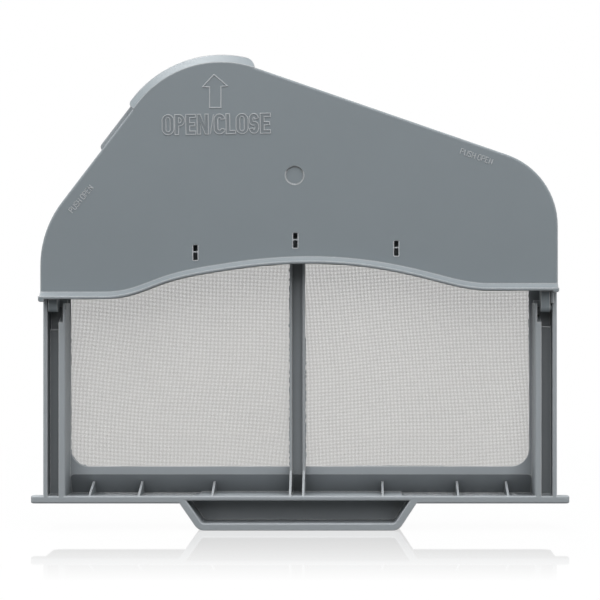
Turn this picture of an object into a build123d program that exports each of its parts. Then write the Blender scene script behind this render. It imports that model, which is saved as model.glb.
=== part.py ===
from build123d import *
import os

os.makedirs("parts", exist_ok=True)

# Lint filter of a tumble dryer, standing on the underside of its handle.
# X runs across the filter, Y from front to back, Z up. The origin lies on the handle's underside,
# below the middle of the flange and midway along the handle's depth. Millimetres.

# Half width of the filter frame over the outer walls of its guide channels
frame_half = 133.65

# House-shaped outline shared by the cover and the upper rim of the frame
house_left = -(frame_half + 0.95)
house_right = frame_half + 0.15
house_foot = 116.5
left_corner_z = 156.1
left_corner_r = 54.0
crest_corner_x = -60.3
crest_corner_z = 253.3
crest_r = 54.7
right_corner_z = 186.2
right_corner_r = 39.0

# Front cover
cover_face_y = -13.5
cover_plate = 2.0
cover_edge_r = 1.0
skirt_thickness = 1.4
skirt_back_y = -1.7

# Wavy lower lip of the cover
lip_left_z = 121.8
lip_right_z = 126.2
lip_thickness = 1.5
lip_reach = 6.5
lip_root = 2.2
lip_edge_r = 0.3
lip_ear_width = 2.9
lip_ear_r = 1.2
left_ear_height = 2.9
right_ear_height = 2.3
wave_left_x = -101.0
wave_right_x = 98.0
wave_rise_x = -69.2
wave_rise_z = 130.1
wave_shoulder_x = -45.5
wave_shoulder_z = 135.4
wave_top_x = -8.0
wave_top_z = 139.8
wave_fall_x = 39.5
wave_fall_z = 137.6
wave_drop_x = 68.0
wave_drop_z = 131.6
under_lip_depth = 40.0
pick_margin = 0.01

# Finger lip along the crest
finger_lip_out = 4.4
finger_lip_back = 6.0
finger_lip_thickness = 1.6
finger_lip_slope = 37.0
finger_lip_run = 3.6
finger_lip_left_r = 2.9
finger_lip_right_r = 6.5

# Slot pairs and round recess in the cover plate
slot_width = 2.3
slot_end_r = 0.3
upper_slot = 3.1
lower_slot = 3.8
slot_bridge = 0.8
left_slots = (-54.1, 144.8)
middle_slots = (-2.3, 151.1)
right_slots = (50.0, 147.0)
dimple_x = -2.7
dimple_z = 184.5
dimple_r = 4.7
dimple_depth = 0.6

# Hinge between the cover legs and the outer walls of the guide channels
hinge_y = -7.5
hinge_z = 116.0
pin_r = 1.5
pin_clearance = 0.05
leg_width = 4.9
leg_back_y = -4.5
leg_foot_z = 113.6
leg_root_z = 128.0
leg_corner_r = 2.3
leg_side_gap = 0.5
pin_recess = 0.3

# Play between the cover and the frame
rim_clearance = 0.5
plate_clearance = 0.3
wall_gap = 0.8

# Upper rim of the frame
rim_thickness = 1.4
band_front_y = -1.2
band_thickness = 1.6
ledge_thickness = 1.5

# Tray and guide channels
wall_front_y = -10.0
back_face_y = 8.5
back_thickness = 2.0
outer_wall = 2.3
outer_wall_edge_r = 0.9
channel_width = 5.8
ridge_half = frame_half - outer_wall - channel_width
ridge_thickness = 3.4
ridge_edge_r = 1.2
ridge_inner = ridge_half - ridge_thickness
channel_floor_y = -1.0
channel_floor = 1.5
left_pocket_foot_z = 102.9
right_pocket_foot_z = 104.5
pocket_drop = 3.0
notch_foot_z = 110.2
notch_top_z = 130.0
notch_lead = 2.0
notch_back_y = 1.0
notch_reach = 2.2

# Mesh windows and centre bar
window_left = -(ridge_inner - 0.5)
window_right = ridge_inner - 1.6
window_foot_z = 32.0
window_join_z = 140.0
window_top_z = 260.0
window_margin = 9.0
window_corner_r = 9.5
bar_left = -5.8
bar_right = 2.2
bar_wall = 1.2
bar_front_y = 1.5

# Mesh panels
mesh_thickness = 0.9
mesh_overlap = 1.6
mesh_edge_gap = 0.15
mesh_hem = 1.2
gap_width = 11.6
gap_height = 13.6
strand = 1.4
gap_columns = 11
gap_rows = 17

# Flange
flange_half = frame_half + 6.65
flange_depth = 34.0
flange_corner_r = 5.0
flange_end_depth = 6.0
flange_end_r = 2.6
flange_top_z = 18.0
flange_plate = 2.6
flange_rim_height = 4.0
flange_rim = 1.8
flange_edge_r = 0.85

# Sunken bays of the flange and their perforations
bay_inner_x = 53.0
bay_depth = 0.8
hole_r = 1.9
hole_pitch = 6.3
hole_row_pitch = 3.9
hole_middle_y = 7.4
left_holes_x = -80.0
left_hole_count = 8
right_holes_x = 84.5
right_hole_count = 10

# Throat wall and gusset ribs
throat_left = -ridge_inner
throat_right = ridge_inner
throat_top_z = 27.8
throat_foot_y = 15.0
throat_wall = 2.0
throat_corner_r = 2.5
throat_end = 1.5
rib_x = (-109.7, -84.1, -45.8, 43.0, 82.4, 108.4)
rib_thickness = 1.1
rib_front_y = -9.4
rib_top_z = 24.0
bar_rib_top_z = 30.0

# Finger-cup handle
handle_left = -62.6
handle_right = 60.5
handle_foot_left = -52.9
handle_foot_right = 51.3
handle_top_z = 14.0
handle_corner_r = 6.0
handle_wall = 3.75
handle_depth = 20.0
handle_back = 2.5
cup_edge_r = 0.8

# Thumb tab on the left slope of the frame
tab_share = 0.547
tab_proud = 0.9
tab_length = 29.6
tab_width = 6.0
tab_corner_r = 2.4
tab_front_y = 0.3


def facing(y):
    """Upright plane at depth y that looks towards the front of the filter."""
    return Plane.XZ.offset(-y)


flange_under_z = flange_top_z - flange_plate
wall_front_of_back_y = back_face_y - back_thickness
cover_back_y = cover_face_y + cover_plate
rim_front_y = cover_back_y + plate_clearance
rim_inset = skirt_thickness + rim_clearance
rim_inner_inset = rim_inset + rim_thickness
left_wall_top_z = lip_left_z - lip_thickness - wall_gap
right_wall_top_z = lip_right_z - lip_thickness - wall_gap
pocket_floor_y = channel_floor_y + pocket_drop
left_leg_x = house_left + rim_inner_inset + leg_side_gap
right_leg_x = house_right - rim_inner_inset - leg_side_gap
left_pin_end_x = -frame_half + pin_recess
right_pin_end_x = frame_half - pin_recess
left_slope_foot = Vector(house_left, left_corner_z)
left_slope = Vector(crest_corner_x, crest_corner_z) - left_slope_foot
left_slope_out = left_slope.normalized().rotate(Axis.Z, 90)
left_slope_tilt = left_slope.get_angle(Vector(1, 0))

# House outline with its three rounded corners
with BuildSketch() as house:
    with BuildLine():
        Polyline(
            (house_left, house_foot),
            (house_left, left_corner_z),
            (crest_corner_x, crest_corner_z),
            (house_right, right_corner_z),
            (house_right, house_foot),
            close=True,
        )
    make_face()
    fillet(house.vertices().sort_by_distance((crest_corner_x, crest_corner_z))[0], crest_r)
    fillet(house.vertices().sort_by_distance((house_left, left_corner_z))[0], left_corner_r)
    fillet(house.vertices().sort_by_distance((house_right, right_corner_z))[0], right_corner_r)

# Everything that lies below the upper line of the wavy lip
with BuildSketch() as under_lip:
    with BuildLine():
        left_flat = Line((house_left - under_lip_depth, lip_left_z), (wave_left_x, lip_left_z))
        wave = Spline(
            left_flat @ 1,
            (wave_rise_x, wave_rise_z),
            (wave_shoulder_x, wave_shoulder_z),
            (wave_top_x, wave_top_z),
            (wave_fall_x, wave_fall_z),
            (wave_drop_x, wave_drop_z),
            (wave_right_x, lip_right_z),
            tangents=[(1, 0), (1, 0)],
        )
        right_flat = Line(wave @ 1, (house_right + under_lip_depth, lip_right_z))
        right_drop = Line(right_flat @ 1, right_flat @ 1 - (0, under_lip_depth))
        foot_line = Line(right_drop @ 1, (house_left - under_lip_depth, (right_drop @ 1).Y))
        Line(foot_line @ 1, left_flat @ 0)
    make_face()

# Mesh windows on both sides of the centre bar
with BuildSketch() as windows:
    add(house.sketch)
    offset(amount=-window_margin)
    with Locations(((window_left + window_right) / 2, window_foot_z)):
        Rectangle(
            window_right - window_left,
            window_join_z - window_foot_z,
            align=(Align.CENTER, Align.MIN),
        )
        Rectangle(
            window_right - window_left,
            window_top_z - window_foot_z,
            align=(Align.CENTER, Align.MIN),
            mode=Mode.INTERSECT,
        )
    with Locations((bar_left, window_foot_z)):
        Rectangle(
            bar_right - bar_left,
            window_top_z - window_foot_z,
            align=(Align.MIN, Align.MIN),
            mode=Mode.SUBTRACT,
        )
    window_feet = windows.vertices().group_by(Axis.Y)[0].sort_by(Axis.X)
    fillet([window_feet[0], window_feet[-1]], window_corner_r)

left_window = windows.faces().sort_by(Axis.X)[0]
right_window = windows.faces().sort_by(Axis.X)[-1]

# Throat opening at the foot of the back wall
with BuildSketch() as throat_opening:
    with Locations(((throat_left + throat_right) / 2, flange_under_z)):
        Rectangle(
            throat_right - throat_left,
            throat_top_z - flange_under_z,
            align=(Align.CENTER, Align.MIN),
        )
    fillet(throat_opening.vertices().group_by(Axis.Y)[-1], throat_corner_r)

# Handle outline, drawn past the flange so that its inset ends at the flange plate
with BuildSketch() as handle_outline:
    left_lean = (handle_left - handle_foot_left) / handle_top_z
    right_lean = (handle_right - handle_foot_right) / handle_top_z
    handle_crown_z = flange_under_z + handle_wall
    with BuildLine():
        Polyline(
            (handle_foot_left, 0),
            (handle_foot_right, 0),
            (handle_foot_right + right_lean * handle_crown_z, handle_crown_z),
            (handle_foot_left + left_lean * handle_crown_z, handle_crown_z),
            close=True,
        )
    make_face()
    fillet(handle_outline.vertices().group_by(Axis.Y)[0], handle_corner_r)

# Flange outline: a plate as wide as the frame, with a narrow end on either side along its front
with BuildSketch() as flange_outline:
    with Locations((0, wall_front_y)):
        Rectangle(2 * frame_half, flange_depth, align=(Align.CENTER, Align.MIN))
        Rectangle(2 * flange_half, flange_end_depth, align=(Align.CENTER, Align.MIN))
    flange_rows = flange_outline.vertices().group_by(Axis.Y)
    fillet(flange_rows[-1], flange_corner_r)
    fillet(flange_outline.vertices().group_by(Axis.X)[0], flange_end_r)
    fillet(flange_outline.vertices().group_by(Axis.X)[-1], flange_end_r)

with BuildPart() as filter_frame:
    # Flange: plate with a turned-down rim
    with BuildSketch(Plane.XY.offset(flange_top_z)):
        add(flange_outline.sketch)
    extrude(amount=-flange_plate)
    with BuildSketch(Plane.XY.offset(flange_top_z)):
        add(flange_outline.sketch)
        offset(flange_outline.sketch, amount=-flange_rim, mode=Mode.SUBTRACT)
    extrude(amount=-flange_rim_height)
    fillet(filter_frame.edges().group_by(Axis.Z)[-1], flange_edge_r)
    fillet(filter_frame.faces().sort_by(Axis.Z)[0].outer_wire().edges(), flange_edge_r)

    # Sunken bays on both sides of the handle, with staggered perforations
    with BuildSketch(Plane.XY.offset(flange_top_z)):
        with Locations((throat_left, wall_front_y + flange_rim)):
            Rectangle(
                -bay_inner_x - throat_left,
                throat_foot_y - wall_front_y - flange_rim,
                align=(Align.MIN, Align.MIN),
            )
        with Locations((bay_inner_x, wall_front_y + flange_rim)):
            Rectangle(
                throat_right - bay_inner_x,
                throat_foot_y - wall_front_y - flange_rim,
                align=(Align.MIN, Align.MIN),
            )
    extrude(amount=-bay_depth, mode=Mode.SUBTRACT)
    with BuildSketch(Plane.XY.offset(flange_top_z)):
        with Locations((left_holes_x, hole_middle_y)):
            with GridLocations(hole_pitch, 2 * hole_row_pitch, left_hole_count, 2):
                Circle(hole_r)
            with GridLocations(hole_pitch, hole_row_pitch, left_hole_count - 1, 1):
                Circle(hole_r)
        with Locations((right_holes_x, hole_middle_y)):
            with GridLocations(hole_pitch, 2 * hole_row_pitch, right_hole_count, 2):
                Circle(hole_r)
            with GridLocations(hole_pitch, hole_row_pitch, right_hole_count - 1, 1):
                Circle(hole_r)
    extrude(amount=-flange_plate, mode=Mode.SUBTRACT)

    # Finger-cup handle below the flange, open to the front
    with BuildSketch(facing(wall_front_y)):
        add(handle_outline.sketch)
        with Locations((0, flange_under_z)):
            Rectangle(
                2 * flange_half,
                handle_wall,
                align=(Align.CENTER, Align.MIN),
                mode=Mode.SUBTRACT,
            )
    extrude(amount=-handle_depth)
    with BuildSketch(facing(wall_front_y)):
        offset(handle_outline.sketch, amount=-handle_wall)
    extrude(amount=-(handle_depth - handle_back), mode=Mode.SUBTRACT)
    handle_front = filter_frame.faces().filter_by(Axis.Y).sort_by(Axis.Y)[0]
    fillet(handle_front.inner_wires()[0].edges(), cup_edge_r)

    # Back wall behind the tray, with the throat opening at its foot
    with BuildSketch(facing(back_face_y)):
        add(house.sketch)
        with Locations((0, flange_under_z)):
            Rectangle(
                2 * ridge_half,
                house_foot - flange_under_z,
                align=(Align.CENTER, Align.MIN),
            )
        add(windows.sketch, mode=Mode.SUBTRACT)
        add(throat_opening.sketch, mode=Mode.SUBTRACT)
    extrude(amount=back_thickness)

    # Ridges: inner walls of the guide channels and sides of the tray
    with BuildSketch(Plane.XY.offset(flange_under_z)) as ridges:
        with Locations((-ridge_half, wall_front_y), (ridge_inner, wall_front_y)):
            Rectangle(
                ridge_thickness,
                back_face_y - wall_front_y,
                align=(Align.MIN, Align.MIN),
            )
        ridge_fronts = ridges.vertices().group_by(Axis.Y)[0].sort_by(Axis.X)
        fillet(ridge_fronts[1:3], ridge_edge_r)
    extrude(amount=house_foot + band_thickness - flange_under_z)

    # Rebate for the mesh panels on the rear of the back wall and the ridges
    with BuildSketch(facing(back_face_y)):
        offset(windows.sketch, amount=mesh_overlap)
    extrude(amount=mesh_thickness, mode=Mode.SUBTRACT)

    # Outer walls of the guide channels
    for wall_x, wall_top_z in (
        (-frame_half, left_wall_top_z),
        (frame_half - outer_wall, right_wall_top_z),
    ):
        with BuildSketch(Plane.XY.offset(flange_under_z)) as wall:
            with Locations((wall_x, wall_front_y)):
                Rectangle(
                    outer_wall,
                    channel_floor_y + channel_floor - wall_front_y,
                    align=(Align.MIN, Align.MIN),
                )
            wall_fronts = wall.vertices().group_by(Axis.Y)[0]
            fillet(wall_fronts.sort_by_distance((0, wall_front_y))[-1], outer_wall_edge_r)
        extrude(amount=wall_top_z - flange_under_z)

    # Floors of the guide channels, with a deeper hinge pocket at the top of each
    for channel_x, pocket_x, pocket_foot_z in (
        (-frame_half, -frame_half + outer_wall, left_pocket_foot_z),
        (ridge_inner, ridge_half, right_pocket_foot_z),
    ):
        pocket_height = house_foot + band_thickness - pocket_foot_z
        with BuildSketch(facing(channel_floor_y)):
            with Locations((channel_x, flange_under_z)):
                Rectangle(
                    frame_half - ridge_inner,
                    pocket_foot_z - flange_under_z,
                    align=(Align.MIN, Align.MIN),
                )
        extrude(amount=-channel_floor)
        with BuildSketch(facing(channel_floor_y)):
            with Locations((channel_x, pocket_foot_z)):
                Rectangle(frame_half - ridge_inner, pocket_height, align=(Align.MIN, Align.MIN))
            with Locations((pocket_x, pocket_foot_z + channel_floor)):
                Rectangle(
                    channel_width,
                    house_foot - pocket_foot_z - channel_floor,
                    align=(Align.MIN, Align.MIN),
                    mode=Mode.SUBTRACT,
                )
        extrude(amount=-(pocket_drop + channel_floor))
        with BuildSketch(facing(pocket_floor_y)):
            with Locations((channel_x, pocket_foot_z)):
                Rectangle(frame_half - ridge_inner, pocket_height, align=(Align.MIN, Align.MIN))
        extrude(amount=-channel_floor)

    # Notches that widen the hinge pockets into the ridges
    for notch_x in (-ridge_half, ridge_half - notch_reach):
        with BuildSketch(Plane.YZ.offset(notch_x)):
            with BuildLine():
                Polyline(
                    (wall_front_y - notch_lead, notch_foot_z - notch_lead),
                    (wall_front_y - notch_lead, notch_top_z),
                    (notch_back_y, notch_top_z),
                    (notch_back_y, notch_foot_z + notch_lead),
                    (wall_front_y, notch_foot_z - notch_lead),
                    close=True,
                )
            make_face()
        extrude(amount=notch_reach, mode=Mode.SUBTRACT)

    # Upper rim: a band flush with the cover, a ledge and a wall that enters the skirt
    with BuildSketch(facing(band_front_y)):
        add(house.sketch)
        offset(house.sketch, amount=-band_thickness, mode=Mode.SUBTRACT)
        with Locations((0, house_foot)):
            Rectangle(
                2 * ridge_half,
                band_thickness,
                align=(Align.CENTER, Align.MIN),
                mode=Mode.SUBTRACT,
            )
    extrude(amount=-(back_face_y - band_front_y))
    with BuildSketch(facing(band_front_y)):
        add(house.sketch)
        offset(house.sketch, amount=-rim_inner_inset, mode=Mode.SUBTRACT)
        with Locations((0, house_foot)):
            Rectangle(
                2 * ridge_inner,
                rim_inner_inset,
                align=(Align.CENTER, Align.MIN),
                mode=Mode.SUBTRACT,
            )
    extrude(amount=-ledge_thickness)
    with BuildSketch(facing(rim_front_y)):
        offset(house.sketch, amount=-rim_inset)
        offset(house.sketch, amount=-rim_inner_inset, mode=Mode.SUBTRACT)
        with Locations((house_left + rim_inner_inset, house_foot + rim_inset)):
            Rectangle(
                house_right - house_left - 2 * rim_inner_inset,
                rim_thickness,
                align=(Align.MIN, Align.MIN),
                mode=Mode.SUBTRACT,
            )
    extrude(amount=-(band_front_y - rim_front_y))

    # Walls of the centre bar
    with BuildSketch(facing(bar_front_y)):
        with Locations((bar_left, throat_top_z), (bar_right - bar_wall, throat_top_z)):
            Rectangle(
                bar_wall,
                window_top_z - throat_top_z,
                align=(Align.MIN, Align.MIN),
            )
        with BuildSketch(mode=Mode.INTERSECT):
            add(house.sketch)
            with Locations((0, throat_top_z)):
                Rectangle(
                    2 * ridge_inner,
                    window_join_z - throat_top_z,
                    align=(Align.CENTER, Align.MIN),
                )
    extrude(amount=-(wall_front_of_back_y - bar_front_y))

    # Sloping throat wall with its ends
    with BuildSketch(Plane.YZ.offset(throat_left)):
        with BuildLine():
            Polyline(
                (wall_front_of_back_y, throat_top_z),
                (back_face_y, throat_top_z),
                (throat_foot_y + throat_wall, flange_under_z),
                (throat_foot_y, flange_under_z),
                close=True,
            )
        make_face()
    extrude(amount=throat_right - throat_left)
    for end_x in (throat_left - throat_end, throat_right):
        with BuildSketch(Plane.YZ.offset(end_x)):
            with BuildLine():
                Polyline(
                    (wall_front_of_back_y, throat_top_z),
                    (back_face_y, throat_top_z),
                    (throat_foot_y + throat_wall, flange_under_z),
                    (wall_front_of_back_y, flange_under_z),
                    close=True,
                )
            make_face()
        extrude(amount=throat_end)

    # Gusset ribs on the flange, and the feet of the centre bar
    for centre_x in rib_x:
        with BuildSketch(Plane.YZ.offset(centre_x - rib_thickness / 2)):
            with BuildLine():
                Polyline(
                    (rib_front_y, flange_under_z),
                    (rib_front_y, flange_top_z),
                    (wall_front_of_back_y + throat_wall, rib_top_z),
                    (throat_foot_y, flange_under_z),
                    close=True,
                )
            make_face()
        extrude(amount=rib_thickness)
    for foot_x in (bar_left, bar_right - bar_wall):
        with BuildSketch(Plane.YZ.offset(foot_x)):
            with BuildLine():
                Polyline(
                    (rib_front_y, flange_under_z),
                    (rib_front_y, flange_top_z),
                    (bar_front_y, bar_rib_top_z),
                    (wall_front_of_back_y, bar_rib_top_z),
                    (wall_front_of_back_y, throat_top_z),
                    (throat_foot_y, flange_under_z),
                    close=True,
                )
            make_face()
        extrude(amount=bar_wall)

    # Thumb tab beside the crest
    with BuildSketch(facing(tab_front_y)):
        with Locations(left_slope_foot + left_slope * tab_share + left_slope_out * tab_proud):
            RectangleRounded(tab_length, tab_width, tab_corner_r, rotation=left_slope_tilt)
    extrude(amount=-(back_face_y - tab_front_y))

    # Holes for the hinge pins in the outer walls
    with BuildSketch(Plane.YZ):
        with Locations((hinge_y, hinge_z)):
            Circle(pin_r + pin_clearance)
    extrude(amount=2 * frame_half, both=True, mode=Mode.SUBTRACT)
filter_frame.part.label = "filter_frame"
export_step(filter_frame.part, "parts/filter_frame.step")

# Flared finger lip along the crest, hollow behind
crest = house.edges().filter_by(GeomType.CIRCLE).sort_by(SortBy.RADIUS)[-1]
crest_centre = crest.arc_center
crest_ends = crest.vertices().sort_by(Axis.X)
crest_left = (Vector(crest_ends[0]) - crest_centre).rotate(Axis.Z, finger_lip_run)
crest_right = Vector(crest_ends[-1]) - crest_centre
with BuildSketch() as crest_cap:
    offset(house.sketch, amount=finger_lip_out)
    with BuildSketch(mode=Mode.INTERSECT):
        with BuildLine():
            Polyline(
                crest_centre,
                crest_centre + crest_left * 2,
                crest_centre + crest_right * 2,
                close=True,
            )
        make_face()
    fillet(crest_cap.vertices().sort_by(Axis.X)[0], finger_lip_left_r)
    fillet(crest_cap.vertices().sort_by(Axis.X)[-1], finger_lip_right_r)

with BuildPart() as finger_lip:
    with BuildSketch(facing(cover_face_y + finger_lip_back)):
        offset(house.sketch, amount=finger_lip_out)
    extrude(amount=finger_lip_back, taper=finger_lip_slope)
    with BuildSketch(facing(cover_face_y + finger_lip_back + finger_lip_thickness)):
        offset(house.sketch, amount=finger_lip_out)
    extrude(amount=finger_lip_back, taper=finger_lip_slope, mode=Mode.SUBTRACT)
    with BuildSketch(facing(cover_face_y + finger_lip_back)):
        offset(house.sketch, amount=-skirt_thickness)
    extrude(amount=finger_lip_back, mode=Mode.SUBTRACT)
    with BuildSketch(facing(cover_face_y + finger_lip_back)):
        add(crest_cap.sketch)
    extrude(amount=finger_lip_back, mode=Mode.INTERSECT)

with BuildPart() as front_cover:
    # Plate
    with BuildSketch(facing(cover_face_y)):
        add(house.sketch)
        with Locations((0, -lip_thickness)):
            add(under_lip.sketch, mode=Mode.SUBTRACT)
    extrude(amount=-cover_plate)

    # Skirt that reaches back over the rim of the frame
    with BuildSketch(facing(cover_back_y)):
        add(house.sketch)
        offset(house.sketch, amount=-skirt_thickness, mode=Mode.SUBTRACT)
        with Locations((0, -lip_thickness)):
            add(under_lip.sketch, mode=Mode.SUBTRACT)
    extrude(amount=-(skirt_back_y - cover_back_y))

    # Lower lip with a sloping root where it leaves the plate
    with BuildSketch(facing(cover_face_y)):
        add(house.sketch)
        add(under_lip.sketch, mode=Mode.INTERSECT)
        with Locations((0, -lip_thickness)):
            add(under_lip.sketch, mode=Mode.SUBTRACT)
    extrude(amount=lip_reach)
    face_edges = front_cover.edges().filter_by_position(
        Axis.Y, cover_face_y - pick_margin, cover_face_y + pick_margin
    )
    lip_roots = face_edges.filter_by(
        lambda edge: edge.center().Z < wave_top_z
        and house_left + pick_margin < edge.center().X < house_right - pick_margin
    )
    chamfer(lip_roots, lip_root)

    # Rounded front edges of the plate and of the lip
    right_roof = front_cover.edges().filter_by_position(
        Axis.Y, cover_face_y - pick_margin, cover_face_y + pick_margin
    )
    fillet(right_roof.filter_by(GeomType.LINE).sort_by(SortBy.LENGTH)[-1], cover_edge_r)
    lip_face = front_cover.faces().sort_by(Axis.Y)[0]
    lip_front = lip_face.edges().filter_by(lambda edge: edge.length > 2 * lip_thickness)
    fillet(lip_front, lip_edge_r)

    # Ears that hang from both ends of the lip
    with BuildSketch(facing(cover_face_y)) as ears:
        with Locations((house_left, lip_left_z)):
            Rectangle(lip_ear_width, left_ear_height, align=(Align.MIN, Align.MAX))
        with Locations((house_right, lip_right_z)):
            Rectangle(lip_ear_width, right_ear_height, align=(Align.MAX, Align.MAX))
        outer_ends = (ears.vertices().group_by(Axis.X)[0], ears.vertices().group_by(Axis.X)[-1])
        fillet([end.sort_by(Axis.Y)[0] for end in outer_ends], lip_ear_r)
    extrude(amount=lip_reach)

    # Finger lip
    add(finger_lip.part)

    # Slot pairs and round recess
    with BuildSketch(facing(cover_face_y)):
        with Locations(left_slots, middle_slots, right_slots):
            with Locations((0, (upper_slot + slot_bridge) / 2)):
                RectangleRounded(slot_width, upper_slot, slot_end_r)
            with Locations((0, -(lower_slot + slot_bridge) / 2)):
                RectangleRounded(slot_width, lower_slot, slot_end_r)
    extrude(amount=-cover_plate, mode=Mode.SUBTRACT)
    with BuildSketch(facing(cover_face_y)):
        with Locations((dimple_x, dimple_z)):
            Circle(dimple_r)
    extrude(amount=-dimple_depth, mode=Mode.SUBTRACT)

    # Hinge legs behind the plate, with their pins
    for leg_x, inward, pin_end_x in (
        (left_leg_x, leg_width, left_pin_end_x),
        (right_leg_x, -leg_width, right_pin_end_x),
    ):
        with BuildSketch(Plane.YZ.offset(leg_x)) as leg:
            with Locations((cover_back_y, leg_foot_z)):
                Rectangle(
                    leg_back_y - cover_back_y,
                    leg_root_z - leg_foot_z,
                    align=(Align.MIN, Align.MIN),
                )
            fillet(leg.vertices().group_by(Axis.Y)[0], leg_corner_r)
        extrude(amount=inward)
        with BuildSketch(Plane.YZ.offset(leg_x)):
            with Locations((hinge_y, hinge_z)):
                Circle(pin_r)
        extrude(amount=pin_end_x - leg_x)
front_cover.part.label = "front_cover"
export_step(front_cover.part, "parts/front_cover.step")

for name, window in (("mesh_left", left_window), ("mesh_right", right_window)):
    with BuildSketch() as gaps:
        with Locations(window.center()):
            with GridLocations(gap_width + strand, gap_height + strand, gap_columns, gap_rows):
                Rectangle(gap_width, gap_height)
        offset(window, amount=-mesh_hem, mode=Mode.INTERSECT)
    with BuildPart() as mesh:
        with BuildSketch(facing(back_face_y)):
            offset(window, amount=mesh_overlap - mesh_edge_gap)
            add(gaps.sketch, mode=Mode.SUBTRACT)
        extrude(amount=mesh_thickness)
    mesh.part.label = name
    export_step(mesh.part, "parts/" + name + ".step")
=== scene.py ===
import math
import bpy
import numpy as np
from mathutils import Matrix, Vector
from mathutils.bvhtree import BVHTree
from mathutils.geometry import tessellate_polygon


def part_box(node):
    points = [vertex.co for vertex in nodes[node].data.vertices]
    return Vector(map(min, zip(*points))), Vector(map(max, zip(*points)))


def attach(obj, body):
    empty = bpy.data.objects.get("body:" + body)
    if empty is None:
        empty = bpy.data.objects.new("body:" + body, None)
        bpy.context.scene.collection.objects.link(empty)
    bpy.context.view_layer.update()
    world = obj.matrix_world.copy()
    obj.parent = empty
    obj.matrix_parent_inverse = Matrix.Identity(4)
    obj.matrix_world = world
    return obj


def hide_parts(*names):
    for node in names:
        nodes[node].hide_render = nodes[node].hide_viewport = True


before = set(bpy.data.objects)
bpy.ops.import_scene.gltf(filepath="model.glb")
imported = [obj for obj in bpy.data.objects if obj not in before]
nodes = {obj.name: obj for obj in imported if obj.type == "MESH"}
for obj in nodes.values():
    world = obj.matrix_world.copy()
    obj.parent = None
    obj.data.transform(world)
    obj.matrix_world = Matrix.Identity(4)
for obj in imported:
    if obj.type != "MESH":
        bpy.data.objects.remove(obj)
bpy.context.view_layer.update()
scene = bpy.context.scene
MM = 0.001
WHITE = (1, 1, 1, 1)
CORNERS = ((-1, -1), (1, -1), (1, 1), (-1, 1))

# Planes of the part that face the viewer, in millimetres
COVER_FACE = -13.5
CHANNEL_FACE = -1.0
BORDER_FACE = 6.5
MESH_Y = 8.05

# Camera: the photograph's eye point, a metre in front of the flange, in millimetres
EYE = (33.8, -1010.0, 119.9)
VIEW_WIDTH = 312.0
VIEW_DISTANCE = 1000.0
SENSOR = 36.0
NEAREST, FARTHEST = 10.0, 50000.0

# The photograph's size, and its column straight ahead of the eye, in pixels
PICTURE = 600.0
AXIS_PX = 365.0


def on_cover(px, py):
    """Place on the cover's face, in millimetres (x, z), that the photograph shows at a pixel."""
    scale = VIEW_WIDTH / PICTURE * (COVER_FACE - EYE[1]) / VIEW_DISTANCE
    return EYE[0] + (px - AXIS_PX) * scale, EYE[2] + (PICTURE / 2 - py) * scale


# Millimetres on the cover's face to a pixel
PX = on_cover(1, 0)[0] - on_cover(0, 0)[0]

camera_data = bpy.data.cameras.new("camera")
camera_data.sensor_width = SENSOR
camera_data.lens = SENSOR * VIEW_DISTANCE / VIEW_WIDTH
camera_data.shift_x = (PICTURE / 2 - AXIS_PX) / PICTURE
camera_data.clip_start = NEAREST * MM
camera_data.clip_end = FARTHEST * MM
camera = bpy.data.objects.new("camera", camera_data)
camera.location = [c * MM for c in EYE]
camera.rotation_euler = (math.pi / 2, 0, 0)
scene.collection.objects.link(camera)
scene.camera = camera
scene.view_settings.view_transform = "Standard"

# Soft boxes above, high in front and weakly at the sides: place, width and height in metres, watts
AIM = (0, 0, 0.12)
SOFT_BOXES = {
    "overhead": ((-0.40, -0.24, 3.45), 5.8, 2.4, 187.0),
    "front_key": ((0.0, -3.00, 1.97), 4.8, 2.4, 69.0),
    "side_left": ((-0.9, -0.12, 0.30), 0.4, 0.9, 3.0),
    "side_right": ((0.9, -0.12, 0.30), 0.4, 0.9, 3.0),
}


def soft_box(name, place, width, height, power):
    data = bpy.data.lights.new(name, "AREA")
    data.shape = "RECTANGLE"
    data.size = width
    data.size_y = height
    data.energy = power
    lamp = bpy.data.objects.new(name, data)
    lamp.location = place
    lamp.rotation_euler = (Vector(AIM) - Vector(place)).to_track_quat("-Z", "Y").to_euler()
    lamp.visible_camera = False
    scene.collection.objects.link(lamp)


for name, settings in SOFT_BOXES.items():
    soft_box(name, *settings)


class Nodes:
    """A node tree that is written one node a line."""

    def __init__(self, owner):
        owner.use_nodes = True
        self.tree = owner.node_tree
        self.tree.nodes.clear()

    def add(self, kind, settings=None, **inputs):
        """Node with its settings; an input is named, or numbered as in _0, and takes a value or a link."""
        made = self.tree.nodes.new("ShaderNode" + kind)
        for key, value in (settings or {}).items():
            setattr(made, key, value)
        for key, value in inputs.items():
            number = key.removeprefix("_")
            socket = made.inputs[int(number) if number.isdigit() else key.replace("_", " ")]
            if isinstance(value, bpy.types.NodeSocket):
                self.tree.links.new(value, socket)
            else:
                socket.default_value = value
        return made


# Room: white where it is seen, mirrored or seen through, and dim as a light
ROOM_SEEN = 1.0
ROOM_LIGHT = 0.10


def room():
    world = bpy.data.worlds.new("room")
    n = Nodes(world)
    ray = n.add("LightPath").outputs
    direct = n.add("Math", {"operation": "MAXIMUM"}, _0=ray["Is Camera Ray"], _1=ray["Is Glossy Ray"])
    seen = n.add("Math", {"operation": "MAXIMUM"}, _0=direct.outputs[0], _1=ray["Is Transmission Ray"])
    strength = n.add("MapRange", Value=seen.outputs[0], To_Min=ROOM_LIGHT, To_Max=ROOM_SEEN)
    light = n.add("Background", Color=WHITE, Strength=strength.outputs[0])
    n.add("OutputWorld", Surface=light.outputs[0])
    return world


scene.world = room()

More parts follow.
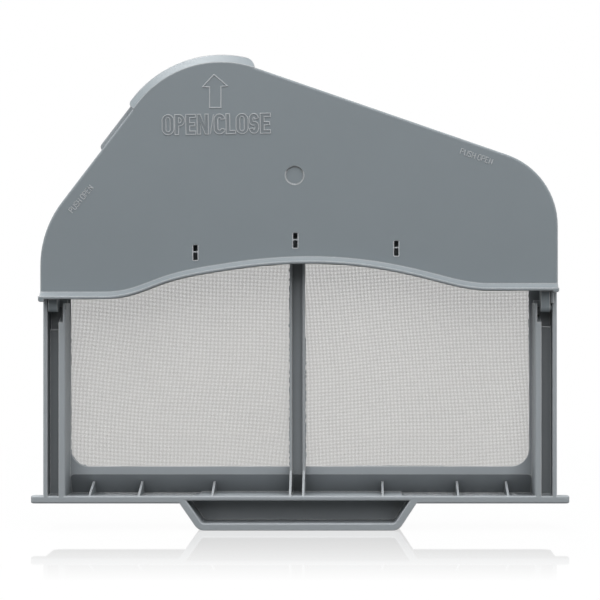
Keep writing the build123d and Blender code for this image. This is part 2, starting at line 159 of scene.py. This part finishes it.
# Moulded plastic: its patterns' scales to the metre, tones and gloss, and the grain's depth in millimetres
FLOW_SCALE = 34.0
FLOW_TONES = (0.965, 1.035)
SPECK_SCALE = 900.0
SPECK_RANGE = (0.3, 0.7)
SPECK_GLOSS = (-0.05, 0.06)
GRAIN_SCALE = 3200.0
GRAIN_DEPTH = 0.03

# Painted highlight on edges: cosines between the rounded and the flat normal where the highlight starts and
# where it is palest
EDGE_HIGHLIGHT_COLOUR = (0.56, 0.57, 0.58, 1)
EDGE_COSINES = (0.998, 0.93)
EDGE_SAMPLES = 6

# Painted shade in recesses: shares of open surroundings where the painted shade is darkest and where it ends
RECESS_SHADE_OPEN = (0.2, 0.95)
RECESS_SAMPLES = 8


def mottled(n, colour, tones, factor):
    """Colour that wanders between a darker and a lighter tone."""
    dark, light = (tuple(c * tone for c in colour) + (1,) for tone in tones)
    return n.add("Mix", {"data_type": "RGBA"}, Factor=factor, _6=dark, _7=light).outputs[2]


def remapped(n, value, from_range, to_range):
    """Value carried over from one range to another."""
    limits = dict(From_Min=from_range[0], From_Max=from_range[1], To_Min=to_range[0], To_Max=to_range[1])
    return n.add("MapRange", Value=value, **limits).outputs[0]


def plastic(name, colour, edge_highlight_share, edge_soft, recess_shade, recess_reach, rough, grain):
    """Matt plastic with fine grain and faint flow marks, a painted highlight on its softened edges and
    painted shade in its recesses.
    """
    material = bpy.data.materials.new(name)
    n = Nodes(material)
    place = n.add("TexCoord").outputs["Object"]
    flow = n.add("TexNoise", Vector=place, Scale=FLOW_SCALE, Detail=3.0, Roughness=0.6)
    speck = n.add("TexNoise", Vector=place, Scale=SPECK_SCALE, Detail=2.0)
    fine = n.add("TexNoise", Vector=place, Scale=GRAIN_SCALE, Detail=2.0, Roughness=0.55)

    rounded = n.add("Bevel", {"samples": EDGE_SAMPLES}, Radius=edge_soft * MM).outputs[0]
    flat = n.add("NewGeometry").outputs["Normal"]
    facing = n.add("VectorMath", {"operation": "DOT_PRODUCT"}, _0=rounded, _1=flat).outputs["Value"]
    # Painted highlight: the colour turns pale towards edges, where light would catch their rounding
    edge = remapped(n, facing, EDGE_COSINES, (0.0, edge_highlight_share))
    # Painted shade: the colour is darkened where the part's own surfaces close in round a point
    hollow = n.add("AmbientOcclusion", {"only_local": True, "samples": RECESS_SAMPLES},
                   Distance=recess_reach * MM).outputs["AO"]
    shade = remapped(n, hollow, RECESS_SHADE_OPEN, (1 - recess_shade, 1.0))

    tone = mottled(n, colour, FLOW_TONES, flow.outputs["Fac"])
    recess_shaded = n.add("Mix", {"data_type": "RGBA", "blend_type": "MULTIPLY"}, Factor=1.0, _6=tone, _7=shade)
    edge_lit = n.add("Mix", {"data_type": "RGBA"}, Factor=edge, _6=recess_shaded.outputs[2], _7=EDGE_HIGHLIGHT_COLOUR)
    gloss = remapped(n, speck.outputs["Fac"], SPECK_RANGE, [rough + change for change in SPECK_GLOSS])
    bump = n.add("Bump", Strength=grain, Distance=GRAIN_DEPTH * MM, Height=fine.outputs["Fac"],
                 Normal=rounded)
    body = n.add("BsdfPrincipled", Base_Color=edge_lit.outputs[2], Roughness=gloss, Normal=bump.outputs[0])
    n.add("OutputMaterial", Surface=body.outputs[0])
    return material


# Synthetic thread, which lets some light through
THREAD_COLOUR = (0.57, 0.56, 0.53)
THREAD_PATCHES = 45.0
THREAD_TONES = (0.95, 1.05)
THREAD_ROUGH = 0.6
THREAD_CLEAR = 0.5


def thread_material():
    material = bpy.data.materials.new("mesh_thread")
    n = Nodes(material)
    place = n.add("TexCoord").outputs["Object"]
    patch = n.add("TexNoise", Vector=place, Scale=THREAD_PATCHES, Detail=2.0)
    tone = mottled(n, THREAD_COLOUR, THREAD_TONES, patch.outputs["Fac"])
    body = n.add("BsdfPrincipled", Base_Color=tone, Roughness=THREAD_ROUGH, Transmission_Weight=THREAD_CLEAR)
    n.add("OutputMaterial", Surface=body.outputs[0])
    return material


cover_plastic = plastic("cover_plastic", (0.206, 0.238, 0.258), edge_highlight_share=0.55, edge_soft=1.1,
                        recess_shade=0.7, recess_reach=2.5, rough=0.42, grain=0.10)
# The frame is the cover's plastic painted lighter: painted light for the brighter light on its front faces
frame_plastic = plastic("frame_plastic", (0.318, 0.347, 0.369), edge_highlight_share=0.75, edge_soft=0.7,
                        recess_shade=0.48, recess_reach=14.0, rough=0.46, grain=0.10)
# Raised lines and marks are painted paler than the plastic under them, a painted highlight along them
raised_highlight_plastic = plastic("raised_highlight_plastic", (0.46, 0.48, 0.50), edge_highlight_share=0.3, edge_soft=0.1,
                         recess_shade=0.0, recess_reach=1.0, rough=0.40, grain=0.05)
letter_plastic = plastic("letter_plastic", (0.180, 0.205, 0.222), edge_highlight_share=0.0, edge_soft=0.1,
                         recess_shade=0.0, recess_reach=1.0, rough=0.46, grain=0.10)
mesh_thread = thread_material()

for node, finish in (("front_cover", cover_plastic), ("filter_frame", frame_plastic)):
    nodes[node].data.materials.clear()
    nodes[node].data.materials.append(finish)

# White floor, in metres: it takes the object's shadow and mirrors it faintly, less so towards the viewer
FLOOR_HALF = 12.0

# Its colour to other surfaces, and the parts that the camera sees: one takes the shadow, one glows
FLOOR_BOUNCE = (0.14, 0.14, 0.14, 1)
FLOOR_SHADE = (0.03, 0.03, 0.03, 1)
FLOOR_GLOW = 0.955

# Depths between which the mirror image sets in, and distances between which the floor turns plain white
MIRROR_FADE = (-0.19, -0.05)
MIRROR_SHARE = 0.30
MIRROR_ROUGH = 0.03
PLAIN_FROM = (0.40, 0.75)


def floor_material():
    material = bpy.data.materials.new("white_floor")
    n = Nodes(material)
    ray = n.add("LightPath").outputs
    place = n.add("TexCoord").outputs["Object"]
    depth = n.add("SeparateXYZ", Vector=place).outputs["Y"]
    fade = remapped(n, depth, MIRROR_FADE, (0.0, MIRROR_SHARE))
    away = n.add("VectorMath", {"operation": "LENGTH"}, _0=place).outputs["Value"]
    plain = remapped(n, away, PLAIN_FROM, (0.0, 1.0))

    lit = n.add("BsdfDiffuse", Color=FLOOR_BOUNCE).outputs[0]
    shade = n.add("BsdfDiffuse", Color=FLOOR_SHADE).outputs[0]
    glow = n.add("Emission", Color=WHITE, Strength=FLOOR_GLOW).outputs[0]
    shown = n.add("AddShader", _0=shade, _1=glow).outputs[0]
    mirror = n.add("BsdfGlossy", Color=WHITE, Roughness=MIRROR_ROUGH).outputs[0]
    polished = n.add("MixShader", _0=fade, _1=shown, _2=mirror).outputs[0]
    white = n.add("Emission", Color=WHITE, Strength=1.0).outputs[0]
    wide = n.add("MixShader", _0=plain, _1=polished, _2=white).outputs[0]
    both = n.add("MixShader", _0=ray["Is Camera Ray"], _1=lit, _2=wide).outputs[0]
    n.add("OutputMaterial", Surface=both)
    return material


floor_mesh = bpy.data.meshes.new("floor")
floor_mesh.from_pydata([(x * FLOOR_HALF, y * FLOOR_HALF, 0) for x, y in CORNERS], [], [(0, 1, 2, 3)])
floor_mesh.materials.append(floor_material())
floor = bpy.data.objects.new("floor", floor_mesh)
scene.collection.objects.link(floor)


# Helpers for shapes, all in millimetres

def piece(name, points, faces, material, body, slot, smooth=True):
    """A mesh piece that rides on a body and takes the material it is given; its slot is not used."""
    mesh = bpy.data.meshes.new(name)
    mesh.from_pydata((np.asarray(points) * MM).tolist(), [], faces)
    mesh.validate()
    mesh.materials.append(material)
    mesh.polygons.foreach_set("use_smooth", [smooth] * len(mesh.polygons))
    made = bpy.data.objects.new(name, mesh)
    scene.collection.objects.link(made)
    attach(made, body)
    return made


def joined(shapes):
    """One list of points and one of faces from several shapes."""
    points, faces = [], []
    for shape_points, shape_faces in shapes:
        first = len(points)
        points += [tuple(p) for p in shape_points]
        faces += [tuple(first + i for i in face) for face in shape_faces]
    return points, faces


def in_space(flat, y):
    """Points (x, y, z) from flat points (x, z) and their depth."""
    flat = np.asarray(flat, float)
    return np.column_stack([flat[:, 0], np.broadcast_to(y, len(flat)), flat[:, 1]])


def skin(rows, around=False, closed=False):
    """Surface through rows of points. Around joins the last row to the first, closed each row's ends."""
    n = len(rows[0])
    faces = []
    for i in range(n if closed else n - 1):
        j = (i + 1) % n
        for r in range(len(rows) if around else len(rows) - 1):
            s = (r + 1) % len(rows)
            faces.append((r * n + i, r * n + j, s * n + j, s * n + i))
    return np.concatenate(rows), faces


def leftward(forward):
    """Flat directions turned a quarter to the left."""
    return np.column_stack([-forward[:, 1], forward[:, 0]])


def left_of(path):
    """Directions of length 1 to the left of a flat path at each of its points."""
    forward = np.gradient(path, axis=0)
    return leftward(forward / np.linalg.norm(forward, axis=1, keepdims=True))


def arc(cx, cz, rx, rz, start, end, steps):
    """Points on an ellipse from one angle in degrees to another."""
    angles = np.radians(np.linspace(start, end, steps + 1))
    return [(cx + rx * math.cos(a), cz + rz * math.sin(a)) for a in angles]


# Woven lint mesh: flat threads that pass over and under each other, stretched a little unevenly
THREAD_WIDTH = 0.32
CRIMP = 0.11

# Least step along a thread, in pitches, and threads tried beyond the panel's corners
SHORTEST_STEP = 0.02
SPARE_THREADS = 4

# How a panel's edge is found: places scanned, their distance from its ends, and where a ray starts
SCAN_PLACES = 500
SCAN_MARGIN = 0.02
RAY_START = 5.0
HALVINGS = 10

# Waves by which threads wander: size, millimetres to a radian across and up, share of the phase
WANDER_X = ((0.30, 41.0, 17.0, 1.0), (0.04, -23.0, 6.3, 2.0))
WANDER_Z = ((0.28, 19.0, -37.0, 1.7), (0.04, 7.1, 29.0, 1.0))


def wander(waves, x, z, phase):
    return sum(size * np.sin(x / across + z / up + share * phase) for size, across, up, share in waves)


class Weave:
    """The outline of a mesh panel and the threads in it, numbered from its middle."""

    def __init__(self, node, pitch, tilt, phase):
        self.low, self.high = (np.array(corner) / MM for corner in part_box(node))
        self.pitch = pitch
        self.tilt = tilt
        self.phase = phase
        self.centre = (self.low + self.high)[[0, 2]] / 2
        self.last = int(np.linalg.norm((self.high - self.low)[[0, 2]]) / pitch / 2) + SPARE_THREADS
        self.scan = np.linspace(self.low[0] + SCAN_MARGIN, self.high[0] - SCAN_MARGIN, SCAN_PLACES)
        cad = nodes[node].data
        solid = BVHTree.FromPolygons([v.co / MM for v in cad.vertices], [p.vertices for p in cad.polygons])
        self.foot = self.edge(solid, self.low[2] - RAY_START, 1)
        self.head = self.edge(solid, self.high[2] + RAY_START, -1)

    def edge(self, solid, start, way):
        """Heights of the panel's edge, met from outside by a ray up or down."""
        ray = Vector((0, 0, way))
        return np.array([solid.ray_cast(Vector((x, MESH_Y, start)), ray)[0].z for x in self.scan])

    def inside(self, p):
        x, z = p[..., 0], p[..., 1]
        within = (x > self.scan[0]) & (x < self.scan[-1])
        return within & (z > np.interp(x, self.scan, self.foot)) & (z < np.interp(x, self.scan, self.head))

    def spot(self, u, v):
        """Place (x, z) of a point given by its numbers of threads across and up."""
        x, z = u * self.pitch, v * self.pitch
        x, z = x + wander(WANDER_X, x, z, self.phase), z + wander(WANDER_Z, x, z, self.phase)
        cos, sin = math.cos(self.tilt), math.sin(self.tilt)
        return np.stack([self.centre[0] + x * cos - z * sin, self.centre[1] + x * sin + z * cos], -1)

    def along(self, level, k, t):
        """Places on thread k, level or upright, where it meets the threads numbered t."""
        fixed = np.full_like(t, k)
        return self.spot(t, fixed) if level else self.spot(fixed, t)

    def end(self, level, k, held, way):
        """Number at which thread k leaves the panel, past the last crossing thread that it meets."""
        near, far = 0.0, 1.0
        for _ in range(HALVINGS):
            half = (near + far) / 2
            stays = self.inside(self.along(level, k, np.array(held + way * half)))
            near, far = (half, far) if stays else (near, half)
        return held + way * near

    def thread(self, level, k):
        """Strip of thread k, or nothing where it misses the panel."""
        t = np.arange(-self.last, self.last + 1, dtype=float)
        held = np.flatnonzero(self.inside(self.along(level, k, t)))
        if len(held) < 2:
            return None
        t = t[held[0]:held[-1] + 1]
        t = np.concatenate([[self.end(level, k, t[0], -1.0)], t, [self.end(level, k, t[-1], 1.0)]])
        t = t[np.diff(t, prepend=-math.inf) > SHORTEST_STEP]
        p = self.along(level, k, t)
        side = left_of(p) * THREAD_WIDTH / 2
        lift = CRIMP * np.cos(np.pi * (t + k)) * (1 if level else -1)
        return skin([in_space(p - side, MESH_Y + lift), in_space(p + side, MESH_Y + lift)])


def weave(name, node, pitch, tilt, phase):
    """Woven piece that takes the place of a mesh panel."""
    net = Weave(node, pitch, tilt, phase)
    numbers = range(-net.last, net.last + 1)
    threads = [net.thread(level, k) for level in (False, True) for k in numbers]
    made = piece(name, *joined(t for t in threads if t), mesh_thread, "frame", "mesh")
    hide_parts(node)


weave("lint_mesh_left", "mesh_left", pitch=0.719, tilt=math.radians(1.4), phase=0.4)
weave("lint_mesh_right", "mesh_right", pitch=0.734, tilt=math.radians(-1.2), phase=2.1)

# Moulding flash: ragged slivers of plastic left along the edges of the mesh windows
WINDOW_LEFT, BAR_LEFT, BAR_RIGHT, WINDOW_RIGHT = -121.65, -5.8, 2.2, 120.55
WINDOW_FOOT, WINDOW_R = 32.0, 9.5
BAR_FLASH_TOP = 138.0
SIDE_FLASH_TOP = 100.0
FOOT_FLASH_START, FOOT_FLASH_END = 28.2, 76.1
RIGHT_FLASH_FOOT, RIGHT_FLASH_TOP = 91.0, 130.0

# Its thickness, step, depth under the border's face, root in the border and width at the ends
FLASH_THICK = 0.3
FLASH_STEP = 0.9
FLASH_SUNK = 0.1
FLASH_ROOT = 0.2
FLASH_TIP = 0.02
FLASH_SEED = 11
flash_rng = np.random.default_rng(FLASH_SEED)

# Each run of flash: its path, with the window on the left, and the sliver's least and most width
LEFT_CORNER = arc(WINDOW_LEFT + WINDOW_R, WINDOW_FOOT + WINDOW_R, WINDOW_R, WINDOW_R, 180, 270, steps=24)
FLASH = (
    ([(BAR_LEFT, WINDOW_FOOT), (BAR_LEFT, BAR_FLASH_TOP)], 0.10, 0.80),
    (LEFT_CORNER, 0.15, 0.85),
    ([(WINDOW_LEFT, SIDE_FLASH_TOP), (WINDOW_LEFT, WINDOW_FOOT + WINDOW_R)], 0.05, 0.40),
    ([(BAR_RIGHT, SIDE_FLASH_TOP), (BAR_RIGHT, WINDOW_FOOT)], 0.10, 0.75),
    ([(FOOT_FLASH_START, WINDOW_FOOT), (FOOT_FLASH_END, WINDOW_FOOT)], 0.25, 0.50),
    ([(WINDOW_RIGHT, RIGHT_FLASH_FOOT), (WINDOW_RIGHT, RIGHT_FLASH_TOP)], 0.15, 0.50),
)


def flash(path, least, most):
    """Ragged strip along a path of (x, z) points."""
    p = np.array(path, float)
    along = np.concatenate([[0], np.cumsum(np.linalg.norm(np.diff(p, axis=0), axis=1))])
    stops = np.linspace(0, along[-1], max(3, int(along[-1] / FLASH_STEP)))
    p = np.column_stack([np.interp(stops, along, p[:, 0]), np.interp(stops, along, p[:, 1])])
    left = left_of(p)
    width = flash_rng.uniform(least, most, len(p))
    width[[0, -1]] = FLASH_TIP
    inner = p + left * width[:, None]
    outer = p - left * FLASH_ROOT
    front = BORDER_FACE + FLASH_SUNK
    back = front + FLASH_THICK
    section = ((outer, front), (inner, front), (inner, back), (outer, back))
    return skin([in_space(q, y) for q, y in section], around=True)


piece("window_flash", *joined(flash(*run) for run in FLASH), frame_plastic, "frame", "frame_plastic",
      smooth=False)

# Raised lines: low ridges with sloping sides, painted pale as a highlight, each with the width of its base
# and top and its height
ARROW_LINE = (0.62, 0.26, 0.30)
WORD_LINE = (0.56, 0.26, 0.34)
SMALL_LINE = (0.42, 0.24, 0.22)
DIMPLE_LINE = (0.46, 0.24, 0.14)
SLOT_LINE = (0.55, 0.25, 0.22)
CHANNEL_LINE = (0.70, 0.45, 0.45)
LINE_SINK = 0.05
LEAST_MITRE = 0.35


def ridge(path, closed, line, face):
    """Ridge along a path of (x, z) points on a face."""
    base, top, height = line
    p = np.array(path, float)
    forward = np.roll(p, -1, 0) - p
    if not closed:
        forward[-1] = forward[-2]
    forward /= np.linalg.norm(forward, axis=1, keepdims=True)
    back = np.roll(forward, 1, 0)
    if not closed:
        back[0] = forward[0]
    left, left_back = leftward(forward), leftward(back)
    mitre = (left + left_back) / np.maximum(LEAST_MITRE, 1 + (left * left_back).sum(1, keepdims=True))
    section = ((-base / 2, -LINE_SINK), (-top / 2, height), (top / 2, height), (base / 2, -LINE_SINK))
    points, faces = skin([in_space(p + mitre * x, face - lift) for x, lift in section], closed=closed)
    if not closed:
        start = range(0, len(points), len(p))
        end = range(len(p) - 1, len(points), len(p))
        faces += [tuple(reversed(start)), tuple(end)]
    return points, faces


def ridges(name, paths, line, face=COVER_FACE, body="cover", slot="cover_plastic"):
    """One piece of several ridges in the pale plastic of a painted highlight; each path is (points, closed).
    """
    shapes = [ridge(path, closed, line, face) for path, closed in paths]
    piece(name, *joined(shapes), raised_highlight_plastic, body, slot, smooth=False)


# Arrow above the words, by its corners in the photograph
ARROW_PX = ((214.0, 74.6), (227.3, 85.9), (220.9, 86.6), (220.9, 107.7), (209.6, 107.7), (209.6, 87.0),
            (202.7, 86.7))
ridges("arrow", [([on_cover(*p) for p in ARROW_PX], True)], ARROW_LINE)

# Outlined bold capitals, each in a box of width w and height h, with uprights s and bars b thick

# Shares that shape single letters, and angles in degrees where C and S end and where S turns
O_HOLE_STRETCH = 1.25
P_BOWL = 0.29
P_HOLE_BACK = 0.6
P_HOLE_BEND = 0.8
E_MIDDLE = 0.92
N_NOTCH = 0.62
C_END = 8
S_END = 12
S_TURN = (200, 262)
S_WAIST = 0.55


def stroke(path, half):
    """Outline of a stroke of constant width along an open path, with square ends."""
    p = np.array(path, float)
    side = left_of(p) * half
    return [tuple(q) for q in np.concatenate([p + side, (p - side)[::-1]])]


def capital_o(w, h, s, b):
    r = w / 2
    q = r - s
    outer = arc(r, h - r, r, r, 0, 180, steps=14) + arc(r, r, r, r, 180, 360, steps=14)
    hole = arc(r, h - b - q, q, q * O_HOLE_STRETCH, 0, 180, steps=10)
    hole += arc(r, b + q, q, q * O_HOLE_STRETCH, 180, 360, steps=10)
    return [outer, hole]


def capital_p(w, h, s, b):
    r = P_BOWL * h
    q = r - b
    foot = h - 2 * r
    bowl = arc(w - r, h - r, r, r, -90, 90, steps=12)
    hole = arc(w - s - q * P_HOLE_BACK, h - r, q * P_HOLE_BEND, q, -90, 90, steps=8)
    return [[(0, 0), (s, 0), (s, foot)] + bowl + [(0, h)], [(s, foot + b)] + hole + [(s, h - b)]]


def capital_e(w, h, s, b):
    low, high = (h - b) / 2, (h + b) / 2
    m = E_MIDDLE * w
    return [[(0, 0), (w, 0), (w, b), (s, b), (s, low), (m, low), (m, high), (s, high),
             (s, h - b), (w, h - b), (w, h), (0, h)]]


def capital_n(w, h, s, b):
    notch = N_NOTCH * h
    return [[(0, 0), (b, 0), (b, notch), (w - b, 0), (w, 0),
             (w, h), (w - b, h), (w - b, h - notch), (b, h), (0, h)]]


def capital_l(w, h, s, b):
    return [[(0, 0), (w, 0), (w, b), (s, b), (s, h), (0, h)]]


def capital_c(w, h, s, b):
    x = w / 2
    r = x - s / 2
    path = arc(x, h - x, r, r, C_END, 180, steps=14) + arc(x, x, r, r, 180, 360 - C_END, steps=14)
    return [stroke(path, s / 2)]


def capital_s(w, h, s, b):
    x = w / 2
    r = x - s / 2
    k = (h - s) / 4
    waist = k * S_WAIST
    upper = arc(x, h - s / 2 - k, r, k, S_END, 180, steps=12)
    upper += arc(x, h / 2 + waist, r, waist, *S_TURN, steps=5)
    lower = [(w - px, h - pz) for px, pz in reversed(upper)]
    return [stroke(upper + lower, s / 2)]


CAPITALS = {"O": capital_o, "P": capital_p, "E": capital_e, "N": capital_n,
            "L": capital_l, "C": capital_c, "S": capital_s}

# The two words in the photograph: left and right edge of each letter, and the line, which climbs
WORDS_PX = (("O", 162.3, 174.1), ("P", 175.0, 184.8), ("E", 186.0, 195.7), ("N", 197.4, 208.5),
            ("C", 214.2, 225.2), ("L", 226.2, 235.6), ("O", 236.2, 248.2), ("S", 249.3, 258.8),
            ("E", 260.5, 270.5))
SLASH_PX = ((210.3, 134.2), (213.6, 114.4))
LINE_START_PX = (162.3, 134.9)
CLIMB = math.radians(0.9)
CAPITAL_PX = 19.9
UPRIGHT_PX = 3.75
BAR_SHARE = 0.86
LETTER_RISE = 0.12


def word_letter(sign, left, right):
    """Outlines of a letter at its place on the cover's face."""
    x0, z0 = on_cover(left, LINE_START_PX[1] - (left - LINE_START_PX[0]) * math.tan(CLIMB))
    upright = UPRIGHT_PX * PX
    outlines = CAPITALS[sign]((right - left) * PX, CAPITAL_PX * PX, upright, BAR_SHARE * upright)
    rise = math.sin(CLIMB)
    return [[(x0 + x - z * rise, z0 + z + x * rise) for x, z in outline] for outline in outlines]


def letter_body(outlines):
    """Flat face of a letter between its outlines."""
    points = [p for outline in outlines for p in outline]
    faces = tessellate_polygon([[Vector((x, z, 0)) for x, z in outline] for outline in outlines])
    return in_space(points, COVER_FACE - LETTER_RISE), faces


letters = [word_letter(*place) for place in WORDS_PX]
word_lines = [(outline, True) for outlines in letters for outline in outlines]
word_lines.append(([on_cover(*p) for p in SLASH_PX], False))
ridges("words_open_close", word_lines, WORD_LINE)
piece("letter_bodies", *joined(letter_body(outlines) for outlines in letters), letter_plastic, "cover",
      "cover_plastic", smooth=False)

# Small words along the two slopes, of single lines in a box of height 1, with steps from letter to letter
SMALL_LETTERS = {
    "P": [[(0, 0), (0, 1), (0.42, 1), (0.55, 0.87), (0.55, 0.62), (0.42, 0.5), (0, 0.5)]],
    "U": [[(0, 1), (0, 0.2), (0.13, 0), (0.45, 0), (0.58, 0.2), (0.58, 1)]],
    "S": [[(0.55, 0.85), (0.42, 1), (0.14, 1), (0, 0.84), (0, 0.66), (0.14, 0.52), (0.42, 0.48), (0.55, 0.34),
           (0.55, 0.15), (0.42, 0), (0.14, 0), (0, 0.14)]],
    "H": [[(0, 0), (0, 1)], [(0.56, 0), (0.56, 1)], [(0, 0.5), (0.56, 0.5)]],
    "O": [[(0, 0.2), (0, 0.8), (0.14, 1), (0.44, 1), (0.58, 0.8), (0.58, 0.2), (0.44, 0), (0.14, 0),
           (0, 0.2)]],
    "E": [[(0.5, 1), (0, 1), (0, 0), (0.5, 0)], [(0, 0.52), (0.42, 0.52)]],
    "N": [[(0, 0), (0, 1)], [(0, 1), (0.58, 0)], [(0.58, 0), (0.58, 1)]],
    " ": [],
}
SMALL_TEXT = "PUSH OPEN"
SMALL_PX = 5.4
LETTER_STEP, SPACE_STEP, LAST_GAP = 0.80, 0.36, 0.22

# Start and end of each small word's line in the photograph
SMALL_LINES_PX = {
    "words_left_slope": ((72.6, 213.0), (93.4, 188.4)),
    "words_right_slope": ((460.0, 153.6), (491.5, 164.4)),
}


def small_words(start_px, end_px):
    """Lines of the small words along a slope."""
    start, end = np.array(on_cover(*start_px)), np.array(on_cover(*end_px))
    length = np.linalg.norm(end - start)
    run = (end - start) / length
    up = np.array([-run[1], run[0]]) * SMALL_PX * PX
    steps = [SPACE_STEP if sign == " " else LETTER_STEP for sign in SMALL_TEXT]
    run *= length / (sum(steps) - LAST_GAP)
    lines, at = [], 0.0
    for sign, step in zip(SMALL_TEXT, steps):
        lines += [([start + run * (at + x) + up * z for x, z in line], False) for line in SMALL_LETTERS[sign]]
        at += step
    return lines


for name, ends in SMALL_LINES_PX.items():
    ridges(name, small_words(*ends), SMALL_LINE)

# Raised rim round the dimple, painted pale as a highlight and left off at the top, where the dimple's edge is
# in shade
DIMPLE = (-2.7, 184.5)
DIMPLE_RIM_R = 4.85
RIM_START, RIM_END = 155, 385
dimple_rim = arc(*DIMPLE, DIMPLE_RIM_R, DIMPLE_RIM_R, RIM_START, RIM_END, steps=36)
ridges("dimple_rim", [(dimple_rim, False)], DIMPLE_LINE)

# Raised rims round the slot pairs, painted pale as a highlight, open at the top
SLOTS = ((-54.1, 144.8), (-2.3, 151.1), (50.0, 147.0))
RIM_HALF, RIM_UP, RIM_DOWN, RIM_R = 1.4, 3.3, 4.5, 0.6


def slot_rim(x, z):
    left, right, foot = x - RIM_HALF, x + RIM_HALF, z - RIM_DOWN
    rim = [(left, z + RIM_UP)] + arc(left + RIM_R, foot + RIM_R, RIM_R, RIM_R, 180, 270, steps=5)
    return rim + arc(right - RIM_R, foot + RIM_R, RIM_R, RIM_R, 270, 360, steps=5) + [(right, z + RIM_UP)]


ridges("slot_rims", [(slot_rim(*place), False) for place in SLOTS], SLOT_LINE)

# Steps across the guide channels, painted pale as a highlight, at the foot of the hinge pockets: left end,
# right end, height
CHANNEL_STEPS = ((-131.2, -125.6, 104.2), (125.6, 131.2, 105.8))
step_lines = [([(left, z), (right, z)], False) for left, right, z in CHANNEL_STEPS]
ridges("channel_steps", step_lines, CHANNEL_LINE, CHANNEL_FACE, "frame", "frame_plastic")

# Blind pockets behind the slots, which keep the light of the mesh out of them
POCKET_HALF = (2.0, 4.9)
POCKET_FRONT = 1.95
POCKET_BACK = 9.0


def pocket(x, z):
    ring = [(x + side * POCKET_HALF[0], z + end * POCKET_HALF[1]) for side, end in CORNERS]
    rows = [in_space(ring, COVER_FACE + depth) for depth in (POCKET_FRONT, POCKET_BACK)]
    points, faces = skin(rows, closed=True)
    return points, faces + [(4, 5, 6, 7)]


piece("slot_pockets", *joined(pocket(*place) for place in SLOTS), cover_plastic, "cover", "cover_plastic",
      smooth=False)
